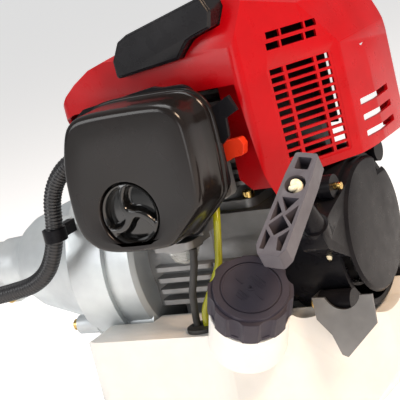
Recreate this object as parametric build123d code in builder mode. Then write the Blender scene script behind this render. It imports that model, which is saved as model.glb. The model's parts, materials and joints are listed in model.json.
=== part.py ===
from build123d import *
from math import cos, pi, radians, sin
import os

os.makedirs("parts", exist_ok=True)

# Power unit of a pole hedge trimmer. X runs along the crank, from the mouth of the tube clamp
# towards the pull starter; -Y is the air filter side; +Z runs up the cylinder.

# ---- driving dimensions, mm
tube_r = 13.0  # drive tube of 26 mm
clamp_depth = 48.0  # how far the tube goes in
cx = 240.0  # cylinder axis, from the mouth of the clamp
floor_z = -135.0  # underside of the tank
wall = 2.5  # moulded and cast walls
cylinder_bore = 22.0  # radius
stroke = 34.0
rod_length = 60.0
crank_throw = stroke / 2
fan_r = 65.0  # outside of the fan housing
drum_r = 38.5  # outside of the clutch drum
running = 0.05  # radial clearance of a running fit
gap = 0.3  # between bodies that must not rub
pulley_groove_r = 30.0
screw_r = 2.5  # M5
ring_bolt_r = 59.0  # bolt circle of the fan housing
bolt_angles = (40, 140, 220, 320)

# stations along X
flange_x = 136.0  # clutch housing to fan cover
fan_split_x = 163.0  # fan cover to fan housing
case_front_x = 186.0
case_rear_x = 294.0
starter_face_x = cx + 104.0

# stations along Z
deck_z = 31.0  # top of the crankcase
head_z = 97.0  # roof of the combustion chamber
top_fin_z = 124.0

# stations along Y
carb_back_y = -54.0
filter_base_y = -80.0
filter_back_y = -84.0
filter_face_y = -120.0


def on_crank(x):
    """Plane across the crank axis: local x is Y, local y is Z."""
    return Plane.YZ.offset(x)


def facing_front(y, x=cx, z=0.0):
    """Plane facing the filter side: local x is X, local y is Z, out is -Y."""
    return Plane(origin=(x, y, z), x_dir=(1, 0, 0), z_dir=(0, -1, 0))


def cap_screw(head_r, head_h, shank_r, shank_l):
    """Socket screw, head above its local XY plane, shank below it."""
    with BuildPart() as screw:
        Cylinder(head_r, head_h, align=(Align.CENTER, Align.CENTER, Align.MIN))
        chamfer(screw.edges().group_by(Axis.Z)[-1], 0.5)
        Cylinder(shank_r, shank_l, align=(Align.CENTER, Align.CENTER, Align.MAX))
        with BuildSketch(Plane.XY.offset(head_h)):
            RegularPolygon(head_r * 0.5, 6)
        extrude(amount=-head_h * 0.6, mode=Mode.SUBTRACT)
    return screw.part


def screws_at(planes, head_r=4.25, head_h=5.0, shank_r=screw_r - 0.1, shank_l=20.0):
    screw = cap_screw(head_r, head_h, shank_r, shank_l)
    return Compound(children=[screw.moved(plane.location) for plane in planes])


def turned(points):
    """Solid of revolution about the crank axis from an outline of (x, radius) points."""
    with BuildPart() as shape:
        with BuildSketch(Plane.XY):
            with BuildLine():
                Polyline(*points, close=True)
            make_face()
        revolve(axis=Axis.X)
    return shape.part


def write(part, name):
    part.label = name
    export_step(part, f"parts/{name}.step")


ring_bolts = [
    (ring_bolt_r * cos(radians(a)), ring_bolt_r * sin(radians(a))) for a in bolt_angles
]

# ================================================================ drive end

# clutch housing: split tube clamp, bearing seat and the bell around the drum
with BuildPart() as clutch_housing:
    with BuildSketch(Plane.XY):
        with BuildLine():
            Polyline(
                (0, tube_r), (0, 17.5), (1, 18.5), (34, 18.5), (35, 20.5), (50, 21.5), (57, 24), (63, 30),
                (72, 35.5), (92, 41.5), (112, 47.5), (121, 51.5), (129, 58.5), (132, 63.5), (133, 65), (136, 65),
                (136, 41), (103, 41), (99, 36), (90, 28), (90, 16), (71, 16), (71, 12),
                (clamp_depth, 12), (clamp_depth, tube_r), close=True,
            )
        make_face()
    revolve(axis=Axis.X)
    with BuildSketch(on_crank(flange_x)):
        with Locations(*ring_bolts):
            Circle(7)
    extrude(amount=-18)
    with BuildSketch(Plane.XZ):
        with Locations((24, -21)):
            RectangleRounded(40, 13, 3)
    extrude(amount=11.5, both=True)
    with BuildSketch(on_crank(-1)):
        Circle(tube_r)
        with Locations((0, -22)):
            Rectangle(2.4, 22)
    extrude(amount=clamp_depth + 1, mode=Mode.SUBTRACT)
    with BuildSketch(on_crank(flange_x)):
        Circle(41)
    extrude(amount=-33, mode=Mode.SUBTRACT)
    with BuildSketch(on_crank(flange_x)):
        with Locations(*ring_bolts):
            Circle(screw_r + 0.1)
    extrude(amount=-20, mode=Mode.SUBTRACT)
    with BuildSketch(Plane.XZ.offset(-20)):
        with Locations((12, -22.5), (36, -22.5)):
            Circle(screw_r + 0.1)
    extrude(amount=40, mode=Mode.SUBTRACT)
write(clutch_housing.part, "clutch_housing")

clamp_planes = [Plane(origin=(x, -11.5, -22.5), z_dir=(0, -1, 0)) for x in (12, 36)]
clamp_screws = screws_at(clamp_planes, shank_l=22)

ring_planes = [
    Plane(origin=(flange_x - 18, y, z), x_dir=(0, 1, 0), z_dir=(-1, 0, 0)) for y, z in ring_bolts
]
housing_screws = screws_at(ring_planes, shank_l=58)

# two ball bearings carry the output shaft, two the crank
bearing_r, bearing_w = 15.9, 9.0
shaft_r = 7.5
with BuildPart() as ball_bearings:
    for x in (71.2, 80.7):
        with BuildSketch(on_crank(x)):
            Circle(bearing_r)
            Circle(shaft_r + running, mode=Mode.SUBTRACT)
        extrude(amount=bearing_w)
    for x in (cx - 28.2, cx + 17.2):
        with BuildSketch(on_crank(x)):
            Circle(17.5)
            Circle(shaft_r + running, mode=Mode.SUBTRACT)
        extrude(amount=11)
write(ball_bearings.part, "ball_bearings")

# clutch drum with its shaft and square socket
socket_side = 8.0
with BuildPart() as clutch_drum:
    add(turned([
        (56, 0), (56, shaft_r), (91, shaft_r), (91, 12), (104, 12), (104, drum_r - 2), (106, drum_r),
        (128, drum_r), (128, drum_r - 2.5), (106.5, drum_r - 2.5), (106.5, 0),
    ]))
    with BuildSketch(on_crank(56)):
        Rectangle(socket_side, socket_side)
    extrude(amount=28, mode=Mode.SUBTRACT)
write(clutch_drum.part, "clutch_drum")

# ================================================================ fan

with BuildPart() as fan_cover:
    add(turned([
        (flange_x, 44), (flange_x, fan_r), (160, fan_r), (160, fan_r + 1.5), (fan_split_x, fan_r + 1.5),
        (fan_split_x, 61), (140, 61), (140, 44),
    ]))
    with BuildSketch(on_crank(flange_x)):
        with Locations(*ring_bolts):
            Circle(6.5)
    extrude(amount=fan_split_x - flange_x)
    with BuildSketch(on_crank(flange_x)):
        with Locations(*ring_bolts):
            Circle(screw_r + 0.1)
    extrude(amount=fan_split_x - flange_x, mode=Mode.SUBTRACT)
    # air slots on the lower back
    with BuildSketch(on_crank(flange_x + 7)):
        with PolarLocations(fan_r, 9, start_angle=-62, angular_range=96, rotate=True, endpoint=True):
            Rectangle(14, 4)
    extrude(amount=16, mode=Mode.SUBTRACT)
write(fan_cover.part, "fan_cover")

with BuildPart() as fan_housing:
    add(turned([
        (fan_split_x, 58.5), (fan_split_x, 62.5), (183, 62.5), (186, 59), (186, 26), (182, 26), (182, 58.5),
    ]))
    with BuildSketch(on_crank(fan_split_x)):
        with Locations(*ring_bolts):
            Circle(6.5)
    extrude(amount=22)
    with BuildSketch(on_crank(fan_split_x)):
        with Locations(*ring_bolts):
            Circle(screw_r + 0.1)
    extrude(amount=18, mode=Mode.SUBTRACT)
    # duct mouth towards the cylinder
    with BuildSketch(Plane.XY.offset(52)):
        with Locations((174, 0)):
            Rectangle(13, 44)
    extrude(amount=14, mode=Mode.SUBTRACT)
write(fan_housing.part, "fan_housing")

blade_count = 14
with BuildPart() as flywheel:
    add(turned([
        (127, 7.6), (127, 20), (157, 20), (157, 44), (160, 46), (177, 46), (177, 38), (162, 38), (162, 14),
        (180, 14), (180, 7.6),
    ]))
    with BuildSketch(on_crank(143.5)):
        with PolarLocations(35.5, blade_count):
            Rectangle(30, 2.4, rotation=24)
    extrude(amount=15)
write(flywheel.part, "flywheel")

# two clutch shoes on shoulder pins, inside the drum
shoe_outer, shoe_inner = 34.5, 21.0
shoe_pin = 27.0
for name, side in (("clutch_shoe_upper", 1), ("clutch_shoe_lower", -1)):
    with BuildPart() as shoe:
        with BuildSketch(on_crank(108.5)):
            Circle(shoe_outer)
            Circle(shoe_inner, mode=Mode.SUBTRACT)
            with Locations((0, side * -22)):
                Rectangle(90, 50, mode=Mode.SUBTRACT)
            with Locations((side * shoe_pin, side * 6.5)):
                Circle(3.05, mode=Mode.SUBTRACT)
        extrude(amount=17)
    write(shoe.part, name)

with BuildPart() as clutch_carrier:
    with BuildSketch(on_crank(110)):
        Circle(12)
    extrude(amount=16.7)
    with BuildSketch(on_crank(126)):
        with BuildLine():
            Polyline((-33, -12), (33, -2), (33, 12), (-33, 2), close=True)
        make_face()
        Circle(19)
    extrude(amount=0.7)
    with BuildSketch(on_crank(126)):
        for side in (1, -1):
            with Locations((side * shoe_pin, side * 6.5)):
                Circle(3.0)
    extrude(amount=-18)
    with BuildSketch(on_crank(100)):
        Circle(shaft_r + running)
    extrude(amount=30, mode=Mode.SUBTRACT)
write(clutch_carrier.part, "clutch_carrier")

# ================================================================ crankcase and crank

chamber_r = 33.0
web_r = 27.0
rod_relief_r = 37.5  # room for the big end as it swings
big_end_r, crank_pin_r = 11.0, 7.0
case_r = 41.0
rib_levels = (-1, -9, -17, -25)
web_in, web_out = 7.0, 16.0  # faces of the crank webs, from the cylinder axis


def crankcase_half(name, x_from, x_to, seat_from, seal_from):
    with BuildPart() as half:
        with BuildSketch(on_crank(x_from)):
            Circle(case_r)
            Rectangle(2 * case_r - 6, 2 * deck_z)
            with Locations((0, deck_z + 25)):
                Rectangle(120, 50, mode=Mode.SUBTRACT)
        extrude(amount=x_to - x_from)
        near = max(x_from, cx - 46)
        far = min(x_to, cx + 46)
        for z in rib_levels:
            with BuildSketch(Plane.XY.offset(z - 1.6)):
                with Locations(((near + far) / 2, 0)):
                    RectangleRounded(far - near, 100, 4)
            extrude(amount=3.2)
        for y in (-25, 25):
            with BuildSketch(Plane.XY.offset(-46)):
                with Locations(((near + far) / 2, y)):
                    Rectangle(30, 14)
            extrude(amount=16)
        # crank chamber, bearing seat, seal seat and shaft hole
        with BuildSketch(on_crank(x_from)):
            Circle(9)
        extrude(amount=x_to - x_from, mode=Mode.SUBTRACT)
        with BuildSketch(on_crank(max(x_from, cx - 17))):
            Circle(chamber_r)
        extrude(amount=min(x_to, cx + 17) - max(x_from, cx - 17), mode=Mode.SUBTRACT)
        with BuildSketch(on_crank(max(x_from, cx - web_in))):
            Circle(rod_relief_r)
        extrude(amount=min(x_to, cx + web_in) - max(x_from, cx - web_in), mode=Mode.SUBTRACT)
        with BuildSketch(on_crank(seat_from)):
            Circle(17.6)
        extrude(amount=11.4, mode=Mode.SUBTRACT)
        with BuildSketch(on_crank(seal_from)):
            Circle(13)
        extrude(amount=7, mode=Mode.SUBTRACT)
        with BuildSketch(Plane.XY.offset(deck_z)):
            with Locations((cx, 0)):
                Circle(24.6)
        extrude(amount=-14, mode=Mode.SUBTRACT)
        with BuildSketch(Plane.XY.offset(deck_z)):
            with Locations((cx, 0)):
                with GridLocations(56, 50, 2, 2):
                    Circle(screw_r + 0.1)
        extrude(amount=-18, mode=Mode.SUBTRACT)
    write(half.part, name)


crankcase_half("crankcase_front", case_front_x, cx - 0.3, cx - 28.4, 200)
crankcase_half("crankcase_rear", cx + 0.3, case_rear_x, cx + 17, 273)

with BuildPart() as gaskets:
    with BuildSketch(on_crank(cx - 0.25)):
        Circle(case_r)
        Rectangle(2 * case_r - 6, 2 * deck_z)
        with Locations((0, deck_z + 25)):
            Rectangle(120, 50, mode=Mode.SUBTRACT)
        Circle(rod_relief_r, mode=Mode.SUBTRACT)
        with Locations((0, deck_z)):
            Rectangle(50, 30, mode=Mode.SUBTRACT)
    extrude(amount=0.5)
    with BuildSketch(Plane.XY.offset(deck_z)):
        with Locations((cx, 0)):
            RectangleRounded(68, 62, 8)
            Circle(24.6, mode=Mode.SUBTRACT)
            with GridLocations(56, 50, 2, 2):
                Circle(screw_r + 0.1, mode=Mode.SUBTRACT)
    extrude(amount=0.5)
write(gaskets.part, "gaskets")

with BuildPart() as oil_seals:
    for x in (200.3, 273.3):
        with BuildSketch(on_crank(x)):
            Circle(12.9)
            Circle(shaft_r + running, mode=Mode.SUBTRACT)
        extrude(amount=6.4)
write(oil_seals.part, "oil_seals")



def half_crank(name, side, end_x):
    """One shaft with its web; the counterweight is opposite the crank pin."""
    start = cx + side * web_in
    with BuildPart() as half:
        with BuildSketch(on_crank(start)):
            Circle(web_r)
            for y in (-1, 1):
                with Locations((y * 27, 19)):
                    Circle(15, mode=Mode.SUBTRACT)
        extrude(amount=side * (web_out - web_in))
        with BuildSketch(on_crank(start)):
            Circle(shaft_r)
        extrude(amount=end_x - start)
    write(half.part, name)


half_crank("crank_front", -1, 109)
half_crank("crank_rear", 1, cx + 64)

piston_pin_z = crank_throw + rod_length
with BuildPart() as connecting_rod:
    with BuildSketch(on_crank(cx - 5.5)):
        with Locations((0, crank_throw)):
            Circle(big_end_r)
        with Locations((0, piston_pin_z)):
            Circle(8)
        with Locations((0, crank_throw + rod_length / 2)):
            Rectangle(9, rod_length)
        with Locations((0, crank_throw)):
            Circle(crank_pin_r + running, mode=Mode.SUBTRACT)
        with Locations((0, piston_pin_z)):
            Circle(5 + running, mode=Mode.SUBTRACT)
    extrude(amount=11)
    for x in (cx - 5.5, cx + 5.5):
        with BuildSketch(on_crank(x)):
            with Locations((0, crank_throw + rod_length / 2 + 1)):
                SlotCenterToCenter(24, 4.5, rotation=90)
        extrude(amount=3 if x < cx else -3, mode=Mode.SUBTRACT)
write(connecting_rod.part, "connecting_rod")

with BuildPart() as crank_pin:
    with BuildSketch(on_crank(cx - web_in + gap)):
        with Locations((0, crank_throw)):
            Circle(crank_pin_r)
    extrude(amount=2 * (web_in - gap))
write(crank_pin.part, "crank_pin")

# ================================================================ cylinder and piston

fin_pitch, fin_thickness = 8.0, 2.6
with BuildPart() as cylinder:
    with BuildSketch(Plane.XY.offset(deck_z + 0.5)):
        with Locations((cx, 0)):
            RectangleRounded(68, 62, 8)
    extrude(amount=6)
    with BuildSketch(Plane.XY.offset(20)):
        with Locations((cx, 0)):
            Circle(24.3)
    extrude(amount=20)
    with BuildSketch(Plane.XY.offset(37)):
        with Locations((cx, 0)):
            Circle(28)
    extrude(amount=top_fin_z - 37)
    for level in range(10):
        with BuildSketch(Plane.XY.offset(top_fin_z - fin_thickness - level * fin_pitch)):
            with Locations((cx, 0)):
                RectangleRounded(84, 76, 12)
        extrude(amount=fin_thickness)
    with BuildSketch(facing_front(0, z=64)):
        RectangleRounded(46, 40, 5)
    extrude(amount=40)
    with BuildSketch(facing_front(0, z=68)):
        RectangleRounded(44, 40, 5)
    extrude(amount=-42)
    # bore, ports and plug hole
    with BuildSketch(Plane.XY.offset(19)):
        with Locations((cx, 0)):
            Circle(cylinder_bore)
    extrude(amount=head_z - 19, mode=Mode.SUBTRACT)
    with BuildSketch(Plane.XY.offset(19)):
        with Locations((cx, 0)):
            Rectangle(2 * web_in, 60)
    extrude(amount=deck_z - 19, mode=Mode.SUBTRACT)
    with BuildSketch(on_crank(cx - web_out - 0.6)):
        Circle(web_r + 0.8)
    extrude(amount=2 * web_out + 1.2, mode=Mode.SUBTRACT)
    with BuildSketch(facing_front(41, z=62)):
        SlotOverall(26, 16)
    extrude(amount=82, mode=Mode.SUBTRACT)
    with BuildSketch(Plane.XY.offset(deck_z)):
        with Locations((cx, 0)):
            with GridLocations(56, 50, 2, 2):
                Circle(screw_r + 0.1)
    extrude(amount=8, mode=Mode.SUBTRACT)
    with BuildSketch(Plane.XY.offset(deck_z + 6.5)):
        with Locations((cx, 0)):
            with GridLocations(56, 50, 2, 2):
                Circle(5.2)
    extrude(amount=100, mode=Mode.SUBTRACT)
    plug_plane = Plane(origin=(cx, -13, head_z + 3), x_dir=(1, 0, 0), z_dir=(0, -1, 1.15))
    with BuildSketch(plug_plane):
        Circle(6.2)
    extrude(amount=60, mode=Mode.SUBTRACT)
    with BuildSketch(plug_plane.offset(16)):
        Circle(12)
    extrude(amount=60, mode=Mode.SUBTRACT)
write(cylinder.part, "cylinder")

base_planes = [
    Plane(origin=(cx + x, y, deck_z + 6.5), z_dir=(0, 0, 1)) for x in (-28, 28) for y in (-25, 25)
]
cylinder_screws = screws_at(base_planes, shank_l=20)

piston_top_z = head_z - 2.0
piston_h = 33.0
ring_grooves = (piston_top_z - 5, piston_top_z - 9)
with BuildPart() as piston:
    with BuildSketch(Plane.XY.offset(piston_top_z - piston_h)):
        with Locations((cx, 0)):
            Circle(cylinder_bore - running)
    extrude(amount=piston_h)
    with BuildSketch(Plane.XY.offset(piston_top_z - piston_h)):
        with Locations((cx, 0)):
            Circle(cylinder_bore - 3)
    extrude(amount=piston_h - 4, mode=Mode.SUBTRACT)
    with BuildSketch(on_crank(cx - cylinder_bore + 2)):
        with Locations((0, piston_pin_z)):
            Circle(8)
    extrude(amount=13)
    with BuildSketch(on_crank(cx + cylinder_bore - 2)):
        with Locations((0, piston_pin_z)):
            Circle(8)
    extrude(amount=-13)
    with BuildSketch(on_crank(cx - 30)):
        with Locations((0, piston_pin_z)):
            Circle(5.05)
    extrude(amount=60, mode=Mode.SUBTRACT)
    for z in ring_grooves:
        with BuildSketch(Plane.XY.offset(z)):
            with Locations((cx, 0)):
                Circle(30)
                Circle(cylinder_bore - 1.8, mode=Mode.SUBTRACT)
        extrude(amount=1.6, mode=Mode.SUBTRACT)
write(piston.part, "piston")

with BuildPart() as piston_rings:
    for z in ring_grooves:
        with BuildSketch(Plane.XY.offset(z + 0.05)):
            with Locations((cx, 0)):
                Circle(cylinder_bore - 0.03)
                Circle(cylinder_bore - 1.7, mode=Mode.SUBTRACT)
        extrude(amount=1.5)
write(piston_rings.part, "piston_rings")

with BuildPart() as piston_pin:
    with BuildSketch(on_crank(cx - 18)):
        with Locations((0, piston_pin_z)):
            Circle(5)
            Circle(3, mode=Mode.SUBTRACT)
    extrude(amount=36)
write(piston_pin.part, "piston_pin")

with BuildPart() as spark_plug:
    with BuildSketch(plug_plane.offset(2)):
        Circle(6)
    extrude(amount=14)
    with BuildSketch(plug_plane.offset(16)):
        Circle(9)
    extrude(amount=3)
    with BuildSketch(plug_plane.offset(19)):
        RegularPolygon(9.5, 6, major_radius=False)
    extrude(amount=6)
    with BuildSketch(plug_plane.offset(25)):
        Circle(5.2)
    extrude(amount=20)
write(spark_plug.part, "spark_plug")

boot_route = Plane(origin=plug_plane.offset(43).origin, x_dir=(1, 0, 0), z_dir=(-1, 0, -0.12))
with BuildPart() as plug_boot:
    with BuildSketch(plug_plane.offset(26.5)):
        Circle(8.2)
    extrude(amount=21)
    with BuildSketch(boot_route):
        Circle(5.5)
    extrude(amount=26)
    with BuildSketch(plug_plane.offset(25)):
        Circle(5.3)
    extrude(amount=20.2, mode=Mode.SUBTRACT)
write(plug_boot.part, "plug_boot")

# ignition coil above the flywheel rim
with BuildPart() as ignition_coil:
    with BuildSketch(on_crank(163.5)):
        with Locations((0, 51.5)):
            Rectangle(24, 11)
        Circle(46.4, mode=Mode.SUBTRACT)
        with Locations((0, 47)):
            Rectangle(12, 6, mode=Mode.SUBTRACT)
    extrude(amount=12)
write(ignition_coil.part, "ignition_coil")

# ================================================================ exhaust

with BuildPart() as muffler:
    with BuildSketch(facing_front(42.5, z=68)):
        RectangleRounded(72, 58, 10)
    extrude(amount=-36)
    fillet(muffler.edges().group_by(Axis.Y)[-1], 8)
    with BuildSketch(facing_front(44.5, z=68)):
        RectangleRounded(68, 54, 8)
    extrude(amount=-31, mode=Mode.SUBTRACT)
    with BuildSketch(facing_front(42.5, z=62)):
        SlotOverall(26, 16)
    extrude(amount=-3, mode=Mode.SUBTRACT)
    with BuildSketch(Plane(origin=(cx - 36, 62, 50), x_dir=(0, 1, 0), z_dir=(-1, 0, -0.2))):
        Circle(7)
        Circle(5, mode=Mode.SUBTRACT)
    extrude(amount=12)
write(muffler.part, "muffler")

with BuildPart() as muffler_guard:
    with BuildSketch(facing_front(84, z=70)):
        RectangleRounded(92, 76, 12)
    extrude(amount=-2.5)
    with BuildSketch(facing_front(64, z=70)):
        RectangleRounded(92, 76, 12)
        RectangleRounded(87, 71, 10, mode=Mode.SUBTRACT)
    extrude(amount=-20)
    with BuildSketch(facing_front(95, z=70)):
        with GridLocations(26, 9, 3, 6):
            SlotOverall(22, 4.5)
    extrude(amount=20, mode=Mode.SUBTRACT)
    with BuildSketch(Plane(origin=(cx - 48, 63, 50), z_dir=(-1, 0, 0))):
        Circle(10)
    extrude(amount=-8, both=True, mode=Mode.SUBTRACT)
write(muffler_guard.part, "muffler_guard")

# ================================================================ engine shroud

# outlines in plan (X, Y) and elevation (X, Z), from the cylinder axis
shroud_plan = [(-77, -60), (62, -63), (106, 0), (111, 30), (108, 84), (-62, 84), (-118, 0)]
shroud_rise = [
    (-120, 98), (-118, 106), (-98, 115), (-82, 121), (-73, 131), (-64, 138), (-50, 146), (20, 166),
    (62, 175), (92, 160), (106, 128),
    (112, 100), (112, 52), (78, 52), (66, 43), (58, 43), (40, 60), (-60, 80), (-88, 94),
]
shroud_side = [(-64, 30), (-64, 142), (-50, 176), (60, 182), (84, 160), (84, 30)]


def outline(points, radius, inset):
    """Closed outline with rounded corners, drawn in by an inset."""
    with BuildSketch() as sketch:
        with BuildLine():
            Polyline(*points, close=True)
        make_face()
        fillet(sketch.vertices(), radius)
        if inset:
            offset(amount=-inset, kind=Kind.INTERSECTION)
    return sketch.sketch


def shroud_form(inset):
    """Bulk of the shroud: plan, elevation and side outlines, crossed."""
    with BuildPart() as form:
        with BuildSketch(Plane.XY):
            add(outline([(cx + x, y) for x, y in shroud_plan], 8, inset))
        extrude(amount=200)
        with BuildSketch(facing_front(-100)):
            add(outline(shroud_rise, 4, inset))
        extrude(amount=-220, mode=Mode.INTERSECT)
        with BuildSketch(on_crank(cx - 130)):
            add(outline(shroud_side, 6, inset))
        extrude(amount=260, mode=Mode.INTERSECT)
    return form.part


shroud_seats = ((-30, 145), (30, 161.5))  # screws into the cylinder head: X, height of the seat
facet = Plane(origin=(cx + 85.5, -31, 92), x_dir=(44, 63, 0), z_dir=(63, -44, 0))
plug_window = [
    (-24, 137), (-24, 150), (-17, 162), (-9, 166), (52, 181), (57, 170), (54, 159), (40, 155), (35, 153), (26, 143),
]

with BuildPart() as engine_shroud:
    add(shroud_form(0))
    add(shroud_form(wall), mode=Mode.SUBTRACT)
    # open underneath, and at the back for the muffler
    with BuildSketch(Plane.XY.offset(30)):
        with BuildLine():
            Polyline(
                *[(cx + x, y) for x, y in ((-74, -57), (60, -60), (103, 0), (108, 30), (105, 81), (-60, 81))],
                (cx - 78, 0), close=True,
            )
        make_face()
    extrude(amount=90, mode=Mode.SUBTRACT)
    with BuildSketch(facing_front(96)):
        with Locations((6, 80)):
            RectangleRounded(168, 104, 10)
    extrude(amount=20, mode=Mode.SUBTRACT)
    # mouth for the air filter and carburettor
    with BuildSketch(facing_front(-90)):
        with BuildLine():
            Polyline((-130, 20), (-130, 96), (-70, 118), (57, 121), (62.5, 60), (66, 44), (66, 20), close=True)
        make_face()
    extrude(amount=-70, mode=Mode.SUBTRACT)
    # wall beside the carburettor
    with BuildSketch(facing_front(-47.5)):
        with BuildLine():
            Polyline((38, 56), (38, 121), (71, 121), (71, 56), (60, 48), (46, 48), close=True)
        make_face()
    extrude(amount=2.5)
    # grille towards the starter, in a shallow recess
    with BuildSketch(facet):
        with Locations((5, -1)):
            RectangleRounded(50, 68, 3)
    extrude(amount=-1.1, mode=Mode.SUBTRACT)
    grille_rows = 12
    grille_pitch = 5.5
    grille_columns = ((-12.5, 10), (5.5, 21), (23, 9.5))
    with BuildSketch(facet):
        for row in range(grille_rows):
            for column, width in grille_columns:
                with Locations((column, -31 + row * grille_pitch)):
                    Rectangle(width, 3.7)
        for row in range(2):
            for column, width in ((-11, 10), (4, 17), (18, 8)):
                with Locations((column + row * 1.5, 46 + row * 7)):
                    Rectangle(width, 4.6)
    extrude(amount=-6, mode=Mode.SUBTRACT)
    # three vents in the outer band
    with BuildSketch(Plane(origin=(cx + 120, 27, 0), x_dir=(0, 1, 0), z_dir=(1, 0, 0))):
        for z in (84, 73, 62):
            with Locations((6, z)):
                RectangleRounded(46, 4.4, 1)
    extrude(amount=-30, mode=Mode.SUBTRACT)
    # hatch for the plug
    with BuildSketch(facing_front(-80)):
        with BuildLine():
            Polyline(*plug_window, close=True)
        make_face()
    extrude(amount=-40, mode=Mode.SUBTRACT)
    # posts down to the cylinder head, with sunk screw heads
    for x, z in shroud_seats:
        with BuildSketch(Plane.XY.offset(top_fin_z + gap)):
            with Locations((cx + x, 25)):
                Circle(8)
        extrude(amount=z + 3 - top_fin_z)
        with BuildSketch(Plane.XY.offset(z)):
            with Locations((cx + x, 25)):
                Circle(5.5)
        extrude(amount=40, mode=Mode.SUBTRACT)
        with BuildSketch(Plane.XY.offset(top_fin_z)):
            with Locations((cx + x, 25)):
                Circle(screw_r + 0.1)
        extrude(amount=60, mode=Mode.SUBTRACT)
write(engine_shroud.part, "engine_shroud")

shroud_screw_planes = [Plane(origin=(cx + x, 25, z), z_dir=(0, 0, 1)) for x, z in shroud_seats]
shroud_screws = screws_at(shroud_screw_planes, shank_l=22)

# black hatch over the spark plug
with BuildPart() as plug_cover:
    with BuildSketch(facing_front(-68.8)):
        add(outline(plug_window, 3, 0.7))
    extrude(amount=-25)
    with BuildSketch(facing_front(-68.8)):
        add(outline(plug_window, 3, 1.9))
    extrude(amount=1.2)
    with BuildSketch(facing_front(-67)):
        add(outline(plug_window, 1, 3))
    extrude(amount=-24, mode=Mode.SUBTRACT)
write(plug_cover.part, "plug_cover")

# ================================================================ pull starter

# the rope leaves through the guide, along this line
guide_base = Vector(cx + 95, -72, 25)
rope_way = Vector(0.15, -0.6, 0.785).normalized()
grip_way = Vector(0.133, 0.8, 0.586)
grip_way = (grip_way - rope_way * grip_way.dot(rope_way)).normalized()
guide_length = 30.0
rope_r = 2.0


def along_rope(distance):
    """Plane across the rope, its local x along the grip."""
    return Plane(origin=guide_base + rope_way * distance, x_dir=grip_way, z_dir=rope_way)


starter_bosses = ((-42, 42, cx + 90), (-50, -33, cx + 77), (40, 44, cx + 60), (40, -40, cx + 60))
with BuildPart() as recoil_housing:
    with BuildSketch(on_crank(case_rear_x)):
        Circle(52)
    extrude(amount=starter_face_x - 7 - case_rear_x)
    with BuildSketch(on_crank(starter_face_x)):
        with Locations((0, 3)):
            Circle(46)
            with Locations((31, 40)):
                Rectangle(20, 20, mode=Mode.SUBTRACT)
    extrude(amount=-9)
    chamfer(recoil_housing.faces().sort_by(Axis.X)[-1].edges(), 2)
    for y, z, x in starter_bosses:
        with BuildSketch(on_crank(x)):
            with Locations((y, z)):
                Circle(8)
        extrude(amount=starter_face_x - 4 - x)
    # bridge to the rope guide
    with BuildSketch(on_crank(cx + 84)):
        with BuildLine():
            Polyline((-20, 42), (-62, 30), (-80, 22), (-74, 10), (-48, -4), (-20, -20), close=True)
        make_face()
        fillet(vertices().sort_by(Axis.X)[:4], 5)
    extrude(amount=18)
    with BuildSketch(along_rope(-10)):
        Circle(9)
    extrude(amount=12)
    with BuildSketch(along_rope(1)):
        Circle(7.4)
    with BuildSketch(along_rope(guide_length)):
        Circle(3.6)
    loft()
    # hollow for pulley, spring and catch, with the post they turn on
    with BuildSketch(on_crank(case_rear_x + 8)):
        Circle(48)
        Circle(7.9, mode=Mode.SUBTRACT)
    extrude(amount=starter_face_x - wall - case_rear_x - 8, mode=Mode.SUBTRACT)
    with BuildSketch(on_crank(case_rear_x)):
        Circle(32)
    extrude(amount=19, mode=Mode.SUBTRACT)
    with BuildSketch(along_rope(guide_length + 1)):
        Circle(rope_r + gap)
    extrude(amount=-guide_length - 45, mode=Mode.SUBTRACT)
    for y, z, x in starter_bosses:
        with BuildSketch(on_crank(x)):
            with Locations((y, z)):
                Circle(screw_r + 0.1)
        extrude(amount=16, mode=Mode.SUBTRACT)
write(recoil_housing.part, "recoil_housing")

bracket_t = 1.6
recoil_planes = [
    Plane(origin=(x - washer, y, z), x_dir=(0, 1, 0), z_dir=(-1, 0, 0))
    for (y, z, x), washer in zip(starter_bosses, (0, bracket_t, 0, 0))
]
recoil_screws = screws_at(recoil_planes, shank_l=15)
all_screws = [clamp_screws, housing_screws, cylinder_screws, shroud_screws, recoil_screws]
write(Compound(children=[s for group in all_screws for s in group.solids()]), "body_screws")

pulley_x = cx + 76
with BuildPart() as recoil_pulley:
    add(turned([
        (pulley_x - 3, 8), (pulley_x - 3, 38), (pulley_x - 1.5, 38), (pulley_x, pulley_groove_r - 6),
        (pulley_x + 8, pulley_groove_r - 6), (pulley_x + 9.5, 38), (pulley_x + 11, 38), (pulley_x + 11, 8),
    ]))
    with BuildSketch(on_crank(pulley_x + 8)):
        Circle(20)
    extrude(amount=-14)
    with BuildSketch(on_crank(pulley_x - 10)):
        Circle(8)
    extrude(amount=30, mode=Mode.SUBTRACT)
    # pin for the pawl
    with BuildSketch(on_crank(pulley_x - 3)):
        with Locations((0, 27)):
            Circle(2.5)
    extrude(amount=-9)
write(recoil_pulley.part, "recoil_pulley")

# the rope on the pulley, then straight out through the guide to its knot
with BuildPart() as wound_rope:
    add(turned([
        (pulley_x + 1.2, pulley_groove_r - 5.9), (pulley_x + 1.2, pulley_groove_r + 4),
        (pulley_x + 6.8, pulley_groove_r + 4), (pulley_x + 6.8, pulley_groove_r - 5.9),
    ]))
write(wound_rope.part, "wound_rope")

with BuildPart() as starter_rope:
    with BuildSketch(along_rope(-36)):
        Circle(rope_r)
    extrude(amount=36 + guide_length + 7)
write(starter_rope.part, "starter_rope")

with BuildPart() as recoil_spring:
    with BuildSketch(on_crank(pulley_x + 13)):
        for turn in range(7):
            Circle(36 - 3.4 * turn)
            Circle(35 - 3.4 * turn, mode=Mode.SUBTRACT)
        with Locations((24, 0)):
            Rectangle(24, 1)
    extrude(amount=7)
write(recoil_spring.part, "recoil_spring")

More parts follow.
